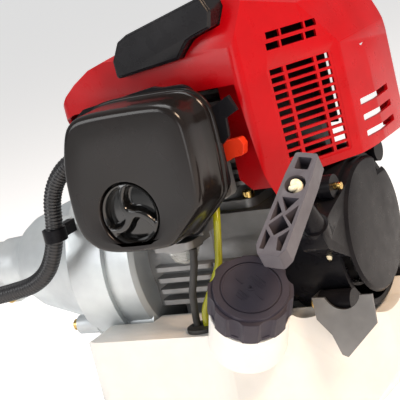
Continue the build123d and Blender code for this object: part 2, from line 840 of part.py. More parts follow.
pawl_pivot_z = 27.0
with BuildPart() as starter_pawl:
    with BuildSketch(on_crank(pulley_x - 11)):
        with Locations((0, pawl_pivot_z)):
            Circle(4.6)
        with BuildLine():
            Polyline((0, 31), (15, 26), (20, 20.5), (14, 22), (0, 23), close=True)
        make_face()
        with Locations((0, pawl_pivot_z)):
            Circle(2.55, mode=Mode.SUBTRACT)
    extrude(amount=7)
write(starter_pawl.part, "starter_pawl")

with BuildPart() as starter_cup:
    with BuildSketch(on_crank(cx + 55)):
        Circle(18.5)
        Circle(7.55, mode=Mode.SUBTRACT)
    extrude(amount=3)
    with BuildSketch(on_crank(cx + 55)):
        Circle(18.5)
        Circle(15.5, mode=Mode.SUBTRACT)
        with PolarLocations(18.5, 6):
            Rectangle(3, 6, mode=Mode.SUBTRACT)
    extrude(amount=14)
write(starter_cup.part, "starter_cup")

# grip: a ribbed bar across the rope, knot pocket near its short end
grip_short, grip_long, grip_depth = 24.0, 52.0, 14.0
with BuildPart() as pull_handle:
    with BuildSketch(along_rope(guide_length + 1.2)):
        with BuildLine():
            Polyline(
                (grip_short, -7.5), (grip_short, 7.5), (8, 9), (-grip_long + 6, 10), (-grip_long, 7),
                (-grip_long, -7), (-grip_long + 6, -10), (8, -9), close=True,
            )
        make_face()
        fillet(vertices(), 2)
    extrude(amount=grip_depth)
    with BuildSketch(along_rope(guide_length + 1.2 + grip_depth)):
        with BuildLine():
            Polyline((-10, -6), (-10, 5), (-20, -0.5), close=True)
        make_face()
        with BuildLine():
            Polyline((-13, 7), (-28, 7), (-21, 1.5), close=True)
        make_face()
        with BuildLine():
            Polyline((-15, -7.5), (-29, -7.5), (-23, -1.2), close=True)
        make_face()
        with BuildLine():
            Polyline((-23, 0.5), (-31, 7), (-38, 1), (-31, -6.5), close=True)
        make_face()
        with BuildLine():
            Polyline((-39, 3), (-34, 7.5), (-48, 7), (-48, 4), close=True)
        make_face()
        with BuildLine():
            Polyline((-39, -2), (-33, -7.5), (-48, -7), (-48, -4), close=True)
        make_face()
    extrude(amount=-grip_depth + 3, mode=Mode.SUBTRACT)
    with BuildSketch(along_rope(guide_length + 1.2 + grip_depth)):
        Circle(6.75)
    extrude(amount=-8, mode=Mode.SUBTRACT)
    with BuildSketch(along_rope(guide_length + 1.2 + grip_depth)):
        with Locations((16, 0)):
            RectangleRounded(9, 9, 1)
    extrude(amount=-9, mode=Mode.SUBTRACT)
    with BuildSketch(along_rope(guide_length)):
        Circle(rope_r + 0.4)
    extrude(amount=grip_depth, mode=Mode.SUBTRACT)
write(pull_handle.part, "pull_handle")

knot_z = guide_length + 1.2 + grip_depth - 8
with BuildPart() as rope_knot:
    with Locations(along_rope(knot_z + 5.4)):
        Sphere(5.3)
write(rope_knot.part, "rope_knot")

# ================================================================ fuel system

carb_x = cx + 10
carb_z = 66.0
with BuildPart() as insulator:
    with BuildSketch(facing_front(-40.3, x=cx, z=62)):
        RectangleRounded(58, 34, 4)
        SlotOverall(26, 16, mode=Mode.SUBTRACT)
    extrude(amount=13.5)
write(insulator.part, "insulator")

primer_x, primer_y, primer_z = cx - 1, -76.0, 23.5
with BuildPart() as carburettor:
    with BuildSketch(facing_front(carb_back_y, x=carb_x, z=carb_z)):
        RectangleRounded(44, 38, 4)
    extrude(amount=carb_back_y - filter_base_y - 0.5)
    with BuildSketch(Plane.XY.offset(carb_z + 18)):
        with Locations((cx + 2, -67)):
            Circle(9)
    extrude(amount=6)
    with BuildSketch(Plane.XY.offset(carb_z + 24)):
        with Locations((cx + 2, -67)):
            Circle(3)
    extrude(amount=6)
    # ear and pin for the choke lever
    with BuildSketch(facing_front(-57, x=cx + 36, z=79)):
        Rectangle(12, 10)
    extrude(amount=4)
    with BuildSketch(facing_front(-57, x=cx + 38, z=79)):
        Circle(2.2)
    extrude(amount=14)
    # cable bracket towards the drive end
    with BuildSketch(on_crank(cx - 34)):
        with Locations((-71, 91)):
            Rectangle(17, 20)
            Circle(2.2, mode=Mode.SUBTRACT)
    extrude(amount=3)
    with BuildSketch(Plane.XY.offset(81)):
        with Locations((cx - 22.5, -71)):
            Rectangle(26, 14)
    extrude(amount=3)
    with BuildSketch(facing_front(carb_back_y, x=cx + 4, z=62)):
        Circle(8)
    extrude(amount=40, mode=Mode.SUBTRACT)
    # seat of the primer bulb
    with BuildSketch(Plane.XY.offset(primer_z)):
        with Locations((primer_x, primer_y)):
            RectangleRounded(30, 31, 5)
    extrude(amount=5)
    with BuildSketch(Plane.XY.offset(primer_z + 5)):
        with Locations((primer_x + 8, -69)):
            Rectangle(20, 17)
    extrude(amount=carb_z - 19 - primer_z - 5)
    with BuildSketch(Plane.XY.offset(primer_z)):
        with Locations((primer_x, primer_y)):
            Circle(11.4)
    extrude(amount=4, mode=Mode.SUBTRACT)
    with BuildSketch(Plane.XY.offset(primer_z - 2)):
        with Locations((primer_x, primer_y)):
            Circle(13.5)
            Circle(11.4, mode=Mode.SUBTRACT)
    extrude(amount=2)
write(carburettor.part, "carburettor")

with BuildPart() as throttle_lever:
    with BuildSketch(Plane.XY.offset(carb_z + 24.4)):
        with Locations((cx + 2, -67)):
            Circle(6)
        with Locations((cx - 6, -67)):
            Rectangle(16, 6)
        with Locations((cx - 14, -67)):
            Circle(4)
        with Locations((cx + 2, -67)):
            Circle(3 + running, mode=Mode.SUBTRACT)
    extrude(amount=3)
    with BuildSketch(Plane.XY.offset(carb_z + 24.4)):
        with Locations((cx - 14, -67)):
            Circle(2.4)
    extrude(amount=7)
write(throttle_lever.part, "throttle_lever")

with BuildPart() as choke_lever:
    with BuildSketch(facing_front(-62, x=cx + 38, z=79)):
        with BuildLine():
            Polyline((-4, -5), (-4, 5), (4, 7), (17, 8.5), (19, 4), (17, -3), (11, -3.5), (4, -6), close=True)
        make_face()
        fillet(vertices(), 2)
        Circle(2.2 + running, mode=Mode.SUBTRACT)
    extrude(amount=7)
write(choke_lever.part, "choke_lever")

with BuildPart() as primer_bulb:
    with BuildSketch(Plane.XZ.offset(-primer_y)):
        with BuildLine():
            Polyline(
                (primer_x, primer_z - 13), (primer_x + 4, primer_z - 12.6), (primer_x + 8, primer_z - 10),
                (primer_x + 10.4, primer_z - 5), (primer_x + 11, primer_z - 0.2), (primer_x + 9.6, primer_z - 0.2),
                (primer_x + 9, primer_z - 4.6), (primer_x + 6.8, primer_z - 9), (primer_x + 3.6, primer_z - 11.4),
                (primer_x, primer_z - 11.8), close=True,
            )
        make_face()
    revolve(axis=Axis((primer_x, primer_y, 0), (0, 0, 1)))
write(primer_bulb.part, "primer_bulb")

# air filter
filter_outline = [
    (-52, 76), (-47, 114), (-27, 124), (0, 127), (33, 127), (47, 106), (46, 62), (17, 33), (-8, 31.5), (-38, 34), (-52, 50),
]
knob_x, knob_z = -7.0, 58.5
knob_r = 21.0
with BuildPart() as filter_base:
    with BuildSketch(facing_front(filter_base_y)):
        add(outline(filter_outline, 8, -2.5))
        with BuildLine():
            Polyline((20, 100), (62, 118), (66, 108), (57, 104), (56, 92), (40, 80), close=True)
        make_face()
        with BuildLine():
            Polyline((-30, 100), (-58, 116), (-46, 124), (10, 131), (24, 128), close=True)
        make_face()
    extrude(amount=filter_base_y - filter_back_y - 0.4)
    with BuildSketch(facing_front(filter_base_y, x=cx + 4, z=62)):
        Circle(8)
    extrude(amount=5, mode=Mode.SUBTRACT)
    with BuildSketch(facing_front(filter_base_y, x=cx + knob_x, z=knob_z)):
        Circle(3.05)
    extrude(amount=5, mode=Mode.SUBTRACT)
write(filter_base.part, "filter_base")

with BuildPart() as filter_element:
    with BuildSketch(facing_front(filter_back_y)):
        add(outline(filter_outline, 6, 6))
        with Locations((knob_x, knob_z)):
            Circle(knob_r + 3.4, mode=Mode.SUBTRACT)
    extrude(amount=20)
write(filter_element.part, "filter_element")

with BuildPart() as filter_cover:
    with BuildSketch(facing_front(filter_back_y)):
        add(outline(filter_outline, 8, -1.5))
    extrude(amount=3)
    with BuildSketch(facing_front(filter_back_y - 3)):
        add(outline(filter_outline, 8, 0))
    extrude(amount=filter_back_y - 3 - filter_face_y)
    fillet(filter_cover.edges().group_by(Axis.Y)[0], 5)
    with BuildSketch(facing_front(filter_back_y)):
        add(outline(filter_outline, 7, 2.2))
    extrude(amount=filter_back_y - filter_face_y - wall, mode=Mode.SUBTRACT)
    # well for the knob
    with BuildSketch(facing_front(filter_back_y - 4)):
        with Locations((knob_x, knob_z)):
            Circle(knob_r + 2.8)
    extrude(amount=filter_back_y - 4 - filter_face_y - 1)
    with BuildSketch(facing_front(filter_face_y + 8)):
        with Locations((knob_x, knob_z)):
            Circle(knob_r + 0.6)
    extrude(amount=12, mode=Mode.SUBTRACT)
    with BuildSketch(facing_front(filter_back_y)):
        with Locations((knob_x, knob_z)):
            Circle(3.4)
    extrude(amount=40, mode=Mode.SUBTRACT)
write(filter_cover.part, "filter_cover")

with BuildPart() as filter_knob:
    with BuildSketch(facing_front(filter_face_y + 7.7, x=cx + knob_x, z=knob_z)):
        Circle(knob_r)
    extrude(amount=8.5)
    fillet(filter_knob.edges().group_by(Axis.Y)[0], 3)
    with BuildSketch(facing_front(filter_face_y - 0.5, x=cx + knob_x, z=knob_z)):
        with Locations((8, 4)):
            SlotOverall(24, 9, rotation=60)
        with Locations((-8, -5)):
            SlotOverall(24, 9, rotation=60)
    extrude(amount=-5, mode=Mode.SUBTRACT)
    with BuildSketch(facing_front(filter_base_y, x=cx + knob_x, z=knob_z)):
        Circle(2.98)
    extrude(amount=filter_base_y - filter_face_y - 6)
write(filter_knob.part, "filter_knob")

# tank, with its slanted neck
neck_way = Vector(0.457, -0.470, 0.749).normalized()
cap_top = Vector(cx + 61, -110, 1)
cap_r, cap_h = 27.0, 23.0


def on_neck(distance):
    """Plane across the filler neck, a distance above the cap's top."""
    return Plane(origin=cap_top + neck_way * distance, x_dir=(0.7, 0.7, 0), z_dir=neck_way)


tank_front, tank_back = -92.0, 66.0
tank_top = -36.0
tank_plan = [(-96, tank_front), (14, tank_front), (104, -22), (104, tank_back), (-96, tank_back)]
tank_rise = [(-96, tank_top), (104, tank_top), (104, -98), (72, floor_z), (-78, floor_z), (-96, -112)]
neck_r = 20.0


tank_saddles = ((-130, 78, 68), (-54, 110, 57), (52, 64, 57))


def tank_form(inset):
    """Bulk of the tank, hollowed on top where the engine lies in it."""
    with BuildPart() as form:
        with BuildSketch(Plane.XY.offset(floor_z)):
            add(outline([(cx + x, y) for x, y in tank_plan], 22, inset))
        extrude(amount=120)
        with BuildSketch(facing_front(-100)):
            add(outline(tank_rise, 13, inset))
        extrude(amount=-180, mode=Mode.INTERSECT)
        for start, length, radius in tank_saddles:
            with BuildSketch(on_crank(cx + start - inset)):
                Circle(radius + inset)
            extrude(amount=length + 2 * inset, mode=Mode.SUBTRACT)
        with BuildSketch(on_crank(cx + 50)):
            with Locations(*[(y, z) for y, z, x in starter_bosses if z < 0]):
                Circle(9.5 + inset)
        extrude(amount=60, mode=Mode.SUBTRACT)
    return form.part


with BuildPart() as fuel_tank:
    add(tank_form(0))
    with BuildSketch(on_neck(-60)):
        Circle(26)
    extrude(amount=36)
    with BuildSketch(on_neck(-26)):
        Circle(neck_r)
    extrude(amount=21)
    add(tank_form(wall), mode=Mode.SUBTRACT)
    with BuildSketch(on_neck(0)):
        Circle(neck_r - wall)
    extrude(amount=-62, mode=Mode.SUBTRACT)
    with BuildSketch(Plane.XY.offset(tank_top + 1)):
        with Locations((cx, -78)):
            Circle(8)
    extrude(amount=-10, mode=Mode.SUBTRACT)
write(fuel_tank.part, "fuel_tank")

with BuildPart() as tank_buffers:
    for x in (cx - 40, cx + 12):
        with BuildSketch(on_crank(x)):
            with Locations((-25, -52.1), (25, -52.1)):
                Rectangle(14, 12)
            Circle(56.9, mode=Mode.INTERSECT)
        extrude(amount=28)
write(tank_buffers.part, "tank_buffers")

lobes = 8
with BuildPart() as fuel_cap:
    with BuildSketch(on_neck(-cap_h)):
        Circle(cap_r)
        with PolarLocations(cap_r + 8.2, lobes):
            Circle(10.4, mode=Mode.SUBTRACT)
    extrude(amount=cap_h - 3)
    with BuildSketch(on_neck(-cap_h)):
        Circle(cap_r - 1.5)
    extrude(amount=3)
    with BuildSketch(on_neck(-3)):
        Circle(cap_r - 3)
    extrude(amount=3)
    with BuildSketch(on_neck(0)):
        Circle(19.5)
        Circle(18.6, mode=Mode.SUBTRACT)
        Circle(0.8)
    extrude(amount=-0.8, mode=Mode.SUBTRACT)
    with BuildSketch(on_neck(-cap_h)):
        Circle(neck_r + 0.6)
    extrude(amount=cap_h - 4, mode=Mode.SUBTRACT)
write(fuel_cap.part, "fuel_cap")

with BuildPart() as cap_gasket:
    with BuildSketch(on_neck(-4.9)):
        Circle(neck_r - 0.4)
        Circle(14, mode=Mode.SUBTRACT)
    extrude(amount=0.8)
write(cap_gasket.part, "cap_gasket")

with BuildPart() as tank_grommet:
    with BuildSketch(Plane.XY.offset(tank_top)):
        with Locations((cx, -78)):
            Circle(11)
    extrude(amount=3)
    with BuildSketch(Plane.XY.offset(tank_top)):
        with Locations((cx, -78)):
            Circle(7.9)
    extrude(amount=-6)
    with BuildSketch(Plane.XY.offset(tank_top - 8)):
        with Locations((cx + 3.5, -78), (cx - 4, -78)):
            Circle(2.7)
    extrude(amount=20, mode=Mode.SUBTRACT)
write(tank_grommet.part, "tank_grommet")


def hose(route, radii, section_r):
    """Round tube along straight runs joined by tangent arcs."""
    with BuildPart() as tube:
        with BuildLine() as path:
            FilletPolyline(*route, radius=radii)
        with BuildSketch(Plane(origin=path.line @ 0, z_dir=path.line % 0)):
            Circle(section_r)
        sweep()
    return tube.part


line_r = 2.5
fuel_line_route = [
    (cx + 27, -70, 45.6), (cx + 29, -76, 38), (cx + 24, -79, 8), (cx + 3.5, -78, -24), (cx + 3.5, -78, -60),
]
return_route = [
    (cx + 12, -86, 22.8), (cx + 10, -86, 12), (cx + 2, -84, -8), (cx - 4, -78, -28), (cx - 4, -78, -50),
]
write(hose(fuel_line_route, [4, 20, 20], line_r), "fuel_line")
write(hose(return_route, [10, 16, 16], line_r), "return_line")

with BuildPart() as fuel_filter:
    with BuildSketch(Plane.XY.offset(-60.2)):
        with Locations((cx + 3.5, -78)):
            Circle(7)
    extrude(amount=-24)
    chamfer(fuel_filter.edges().group_by(Axis.Z)[0], 2)
write(fuel_filter.part, "fuel_filter")

# pressed steel bracket between the starter and the tank
with BuildPart() as tank_bracket:
    with BuildSketch(on_crank(cx + 77 - bracket_t + 0.05)):
        with Locations((-53.5, -33)):
            Rectangle(14, 15)
        with Locations((-50, -33)):
            Circle(screw_r + 0.1, mode=Mode.SUBTRACT)
    extrude(amount=bracket_t - 0.1)
    with BuildSketch(facing_front(-60)):
        with BuildLine():
            Polyline(
                (75.5, -25.5), (84, -26), (118, -26), (117, -46), (92, -68), (88, -66), (84, -52),
                (75.5, -40.5), close=True,
            )
        make_face()
        with Locations((97, -22)):
            Circle(13, mode=Mode.SUBTRACT)
    extrude(amount=bracket_t)
write(tank_bracket.part, "tank_bracket")

# ================================================================ throttle conduit

conduit_r = 6.35
conduit_y = -78.0
ground = floor_z + conduit_r
coil_centre = Vector(cx - 185, -66, ground)
coil_r = 64.0
conduit_route = [
    (cx - 35, -71, 91), (cx - 66, -73, 95), (cx - 93, conduit_y, 74), (cx - 99, conduit_y, 36),
    (cx - 118, conduit_y, 7), (cx - 158, conduit_y, 0), (cx - 206, -85, -4), (cx - 250, -96, -24),
    (cx - 276, -108, -64), (cx - 268, -120, -106), (cx - 232, -129.5, ground), (cx - 185, -130, ground),
]


def arc_radii(route):
    """Largest tangent arc for each corner: 0.45 of its shorter run over tan(half the turn)."""
    radii = []
    for before, here, after in zip(route, route[1:], route[2:]):
        run_in = Vector(here) - Vector(before)
        run_out = Vector(after) - Vector(here)
        half_turn = radians(run_in.get_angle(run_out)) / 2
        radii.append(0.45 * min(run_in.length, run_out.length) / (sin(half_turn) / cos(half_turn)))
    return radii


conduit_radii = arc_radii(conduit_route)
print("conduit arc radii", [round(r) for r in conduit_radii])
conduit = hose(conduit_route, conduit_radii, conduit_r)
print("conduit length", round(conduit.volume / (pi * conduit_r**2)))
write(conduit, "conduit")

with BuildPart() as conduit_coil:
    with BuildSketch(Plane.XY.offset(floor_z)):
        with Locations((coil_centre.X, coil_centre.Y)):
            Circle(coil_r + conduit_r + 0.5)
            Circle(coil_r - conduit_r - 0.5, mode=Mode.SUBTRACT)
    extrude(amount=2 * conduit_r)
write(conduit_coil.part, "conduit_coil")

with BuildPart() as cable_connector:
    with BuildSketch(on_crank(coil_centre.X + 6)):
        with Locations((coil_centre.Y - 34, floor_z + 7)):
            Circle(7)
    extrude(amount=24)
    with BuildSketch(on_crank(coil_centre.X + 30)):
        with Locations((coil_centre.Y - 34, floor_z + 7)):
            Circle(2)
    extrude(amount=12)
write(cable_connector.part, "cable_connector")

with BuildPart() as conduit_clip:
    with BuildSketch(Plane.XY.offset(36)):
        with Locations((cx - 99, conduit_y)):
            Circle(conduit_r + 2)
            Circle(conduit_r + 0.2, mode=Mode.SUBTRACT)
        with Locations((cx - 99, conduit_y + 15)):
            Rectangle(6, 15)
    extrude(amount=9)
write(conduit_clip.part, "conduit_clip")
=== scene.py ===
import bmesh
import bpy
import json
from math import cos, pi, radians, sin
from mathutils import Matrix, Vector


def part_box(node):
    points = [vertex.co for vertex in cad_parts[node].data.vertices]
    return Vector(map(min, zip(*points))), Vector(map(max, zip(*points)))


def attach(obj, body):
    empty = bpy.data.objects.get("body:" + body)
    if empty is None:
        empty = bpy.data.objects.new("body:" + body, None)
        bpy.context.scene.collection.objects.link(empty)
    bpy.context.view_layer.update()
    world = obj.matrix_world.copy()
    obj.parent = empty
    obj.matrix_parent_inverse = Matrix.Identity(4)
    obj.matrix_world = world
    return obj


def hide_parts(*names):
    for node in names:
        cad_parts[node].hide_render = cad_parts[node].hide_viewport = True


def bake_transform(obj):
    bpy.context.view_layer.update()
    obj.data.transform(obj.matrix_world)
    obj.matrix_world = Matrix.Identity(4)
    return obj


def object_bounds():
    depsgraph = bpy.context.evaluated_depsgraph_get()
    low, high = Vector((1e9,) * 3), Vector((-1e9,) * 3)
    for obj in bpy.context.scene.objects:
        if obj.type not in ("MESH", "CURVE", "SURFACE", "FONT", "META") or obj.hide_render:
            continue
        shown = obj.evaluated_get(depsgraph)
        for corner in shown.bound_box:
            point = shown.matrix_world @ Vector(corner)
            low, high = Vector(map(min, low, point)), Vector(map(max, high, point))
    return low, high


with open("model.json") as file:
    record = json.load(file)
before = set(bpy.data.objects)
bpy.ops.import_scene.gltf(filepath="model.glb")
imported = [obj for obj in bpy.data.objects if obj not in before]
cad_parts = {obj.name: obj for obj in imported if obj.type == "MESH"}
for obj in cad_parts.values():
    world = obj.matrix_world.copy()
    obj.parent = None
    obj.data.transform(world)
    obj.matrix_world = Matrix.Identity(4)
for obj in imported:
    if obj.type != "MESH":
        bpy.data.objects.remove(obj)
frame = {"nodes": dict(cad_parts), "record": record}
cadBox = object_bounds()
print("frame loaded")


def mid(node):
    low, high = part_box(node)
    return (low + high) / 2


cylinderX = mid("piston").x


def at(x, y, z):
    # a place given in millimetres from the crank axis under the cylinder
    return Vector((cylinderX + x / 1000, y / 1000, z / 1000))


# camera, floor and light

cameraSettings = {
    "place": (478, -838, 241),
    "azimuth": radians(31),
    "elevation": radians(12),
    "roll": radians(14),
    "lens": 126.0,
}


def placeCamera(s):
    a, e = s["azimuth"], s["elevation"]
    back = Vector((sin(a) * cos(e), -cos(a) * cos(e), sin(e)))
    right = Vector((cos(a), sin(a), 0))
    up = back.cross(right)
    turn = Matrix.Rotation(-s["roll"], 3, back)
    right, up = turn @ right, turn @ up
    camera = bpy.data.objects.new("camera", bpy.data.cameras.new("camera"))
    camera.data.lens = s["lens"]
    axes = Matrix((right, up, back)).transposed().to_4x4()
    camera.matrix_world = Matrix.Translation(at(*s["place"])) @ axes
    bpy.context.collection.objects.link(camera)
    bpy.context.scene.camera = camera


placeCamera(cameraSettings)

# size is the side of the square lamp in metres
lampSettings = {
    "keyRight": dict(place=(900, -300, 900), aim=(40, 0, 90), size=0.4, watts=17, colour=(1.0, 0.72, 0.50)),
    "frontLeft": dict(place=(-700, -1000, 500), aim=(-20, -60, 40), size=0.6, watts=6.5, colour=(1, 1, 1)),
    "top": dict(place=(-50, 100, 1100), aim=(0, 0, 60), size=0.7, watts=7, colour=(1, 1, 1)),
    "lowFront": dict(place=(300, -1100, -60), aim=(40, -60, -20), size=0.5, watts=2, colour=(1, 1, 1)),
}


def addLamp(name, place, aim, size, watts, colour):
    light = bpy.data.lights.new(name, "AREA")
    light.shape = "SQUARE"
    light.size = size
    light.energy = watts
    light.color = colour
    lamp = bpy.data.objects.new(name, light)
    lamp.location = at(*place)
    lamp.rotation_euler = (at(*aim) - at(*place)).to_track_quat("-Z", "Y").to_euler()
    bpy.context.collection.objects.link(lamp)


for lampName, lampValues in lampSettings.items():
    addLamp(lampName, **lampValues)

skySettings = {"colour": (1, 1, 1, 1), "strength": 0.28, "viewTransform": "Standard"}


def makeSky(s):
    world = bpy.data.worlds.new("studio")
    world.use_nodes = True
    background = world.node_tree.nodes["Background"]
    background.inputs["Color"].default_value = s["colour"]
    background.inputs["Strength"].default_value = s["strength"]
    bpy.context.scene.world = world
    bpy.context.scene.view_settings.view_transform = s["viewTransform"]  # the default one washes the red out


makeSky(skySettings)


def newPiece(name, bm):
    mesh = bpy.data.meshes.new(name)
    bm.to_mesh(mesh)
    bm.free()
    piece = bpy.data.objects.new(name, mesh)
    bpy.context.collection.objects.link(piece)
    return piece


floorSettings = {"size": 14.0, "gap": 0.0002, "colour": (0.93, 0.93, 0.93, 1), "rough": 0.9, "glow": 0.5}


def layFloor(s):
    bm = bmesh.new()
    bmesh.ops.create_grid(bm, x_segments=1, y_segments=1, size=s["size"])
    bmesh.ops.translate(bm, vec=(cylinderX, 0, cadBox[0][2] - s["gap"]), verts=bm.verts)
    floor = newPiece("floor", bm)
    mat = bpy.data.materials.new("paleFloor")
    mat.use_nodes = True
    shader = mat.node_tree.nodes["Principled BSDF"]
    shader.inputs["Base Color"].default_value = s["colour"]
    shader.inputs["Roughness"].default_value = s["rough"]
    shader.inputs["Emission Color"].default_value = s["colour"]
    shader.inputs["Emission Strength"].default_value = s["glow"]
    floor.data.materials.append(mat)


layFloor(floorSettings)
print("camera and studio ready")

# finishes

# colour and tint mix in soft patches; grain is the size of the surface's texture in metres
finishes = {
    "cast_housing": dict(
        colour=(0.62, 0.66, 0.67), tint=(0.52, 0.55, 0.57), rough=(0.38, 0.52),
        grain=0.0006, bump=0.25, metallic=0.55,
    ),
    "cast_engine": dict(
        colour=(0.26, 0.26, 0.26), tint=(0.18, 0.18, 0.18), rough=(0.40, 0.6),
        grain=0.0007, bump=0.35, metallic=0.7,
    ),
    "flywheel_alloy": dict(
        colour=(0.6, 0.6, 0.6), tint=(0.5, 0.5, 0.5), rough=(0.35, 0.5),
        grain=0.0006, bump=0.2, metallic=0.8,
    ),
    "steel": dict(
        colour=(0.55, 0.55, 0.57), tint=(0.45, 0.45, 0.46), rough=(0.22, 0.36),
        grain=0.0008, bump=0.08, metallic=1.0, drawn=(1, 8, 8),
    ),
    "gold_screw": dict(
        colour=(0.52, 0.33, 0.08), tint=(0.62, 0.44, 0.16), rough=(0.2, 0.34),
        grain=0.0012, bump=0.08, metallic=1.0,
    ),
    "bracket_steel": dict(
        colour=(0.20, 0.20, 0.20), tint=(0.15, 0.15, 0.15), rough=(0.36, 0.5),
        grain=0.0007, bump=0.06, metallic=0.9, drawn=(1, 1, 10),
    ),
    "red_shell": dict(
        colour=(0.42, 0.0005, 0.004), tint=(0.36, 0.0004, 0.003), rough=(0.26, 0.34),
        grain=0.0005, bump=0.05, coat=0.05, specular=0.2,
    ),
    "choke_red": dict(
        colour=(0.80, 0.05, 0.015), tint=(0.72, 0.04, 0.012), rough=(0.25, 0.35),
        grain=0.0005, bump=0.06, coat=0.1, specular=0.3,
    ),
    "black_shell": dict(
        colour=(0.006, 0.006, 0.008), tint=(0.009, 0.009, 0.011), rough=(0.24, 0.36),
        grain=0.0004, bump=0.08, specular=0.08,
    ),
    "plug_cover_black": dict(
        colour=(0.006, 0.006, 0.008), tint=(0.010, 0.010, 0.012), rough=(0.24, 0.32),
        grain=0.0004, bump=0.05, coat=0.08, specular=0.2,
    ),
    "filter_cover_black": dict(
        colour=(0.009, 0.008, 0.008), tint=(0.011, 0.009, 0.009), rough=(0.15, 0.2),
        grain=0.0003, bump=0.03, coat=0.0, specular=0.3,
    ),
    "knob_black": dict(
        colour=(0.004, 0.004, 0.004), tint=(0.006, 0.006, 0.006), rough=(0.10, 0.16),
        grain=0.0004, bump=0.02, coat=0.3,
    ),
    "grip_plastic": dict(
        colour=(0.060, 0.055, 0.068), tint=(0.080, 0.074, 0.090), rough=(0.34, 0.48),
        grain=0.0004, bump=0.15, specular=0.3,
    ),
    "cap_plastic": dict(
        colour=(0.026, 0.022, 0.033), tint=(0.036, 0.031, 0.044), rough=(0.46, 0.60),
        grain=0.0005, bump=0.22, specular=0.2,
    ),
    "rubber": dict(
        colour=(0.012, 0.012, 0.012), tint=(0.020, 0.020, 0.020), rough=(0.5, 0.65),
        grain=0.0006, bump=0.15,
    ),
    "gasket_paper": dict(
        colour=(0.10, 0.09, 0.06), tint=(0.14, 0.12, 0.08), rough=(0.7, 0.85),
        grain=0.0005, bump=0.2,
    ),
    "tank_plastic": dict(
        colour=(0.78, 0.765, 0.73), tint=(0.74, 0.72, 0.68), rough=(0.34, 0.46),
        grain=0.0012, bump=0.08, subsurface=0.35,
    ),
    "clear_bulb": dict(
        colour=(0.93, 0.95, 0.93), tint=(0.90, 0.92, 0.90), rough=(0.06, 0.12),
        grain=0.0008, bump=0.03, transmission=0.85,
    ),
    "fuel_hose": dict(
        colour=(0.42, 0.44, 0.01), tint=(0.36, 0.36, 0.01), rough=(0.16, 0.26),
        grain=0.0008, bump=0.04, transmission=0.35,
    ),
    "insulator_grey": dict(
        colour=(0.42, 0.42, 0.41), tint=(0.34, 0.34, 0.33), rough=(0.5, 0.65),
        grain=0.0006, bump=0.2,
    ),
    "filter_foam": dict(
        colour=(0.03, 0.03, 0.03), tint=(0.06, 0.06, 0.06), rough=(0.8, 0.95),
        grain=0.0012, bump=0.9,
    ),
    "rope": dict(
        colour=(0.80, 0.72, 0.48), tint=(0.86, 0.80, 0.60), rough=(0.55, 0.7),
        grain=0.0006, bump=0.5,
    ),
    "conduit_black": dict(
        colour=(0.010, 0.010, 0.012), tint=(0.016, 0.016, 0.018), rough=(0.28, 0.4),
        grain=0.0006, bump=0.08,
    ),
    "connector": dict(
        colour=(0.02, 0.02, 0.02), tint=(0.03, 0.03, 0.03), rough=(0.35, 0.5),
        grain=0.0005, bump=0.1,
    ),
    "muffler_steel": dict(
        colour=(0.16, 0.14, 0.12), tint=(0.24, 0.20, 0.16), rough=(0.4, 0.6),
        grain=0.002, bump=0.1, metallic=0.9,
    ),
    "coil_black": dict(
        colour=(0.02, 0.02, 0.022), tint=(0.03, 0.03, 0.03), rough=(0.5, 0.6),
        grain=0.0006, bump=0.1,
    ),
    "plug_ceramic": dict(
        colour=(0.82, 0.82, 0.80), tint=(0.76, 0.76, 0.74), rough=(0.12, 0.2),
        grain=0.0008, bump=0.02,
    ),
    "felt": dict(
        colour=(0.40, 0.38, 0.32), tint=(0.50, 0.48, 0.40), rough=(0.8, 0.95),
        grain=0.0008, bump=0.6,
    ),
}


def addNode(mat, kind, **values):
    node = mat.node_tree.nodes.new(kind)
    for key, value in values.items():
        if key in node.inputs:
            node.inputs[key].default_value = value
        else:
            setattr(node, key, value)
    return node


# what every finish shares; a scale counts the noise's cells along a metre
finishSettings = {
    "patchScale": 38.0,
    "patchDetail": 3.0,
    "patchFrom": 0.36,
    "patchTo": 0.68,
    "smudgeScale": 120.0,
    "smudgeDetail": 4.0,
    "smudgeSpan": (0.3, 0.7),
    "grainDetail": 2.0,
    "grainHeight": 0.4,  # a share of the grain's size
    "coatRough": 0.12,
    "glowDepth": (0.012, 0.011, 0.009),  # how far red, green and blue light spread inside the tank
}


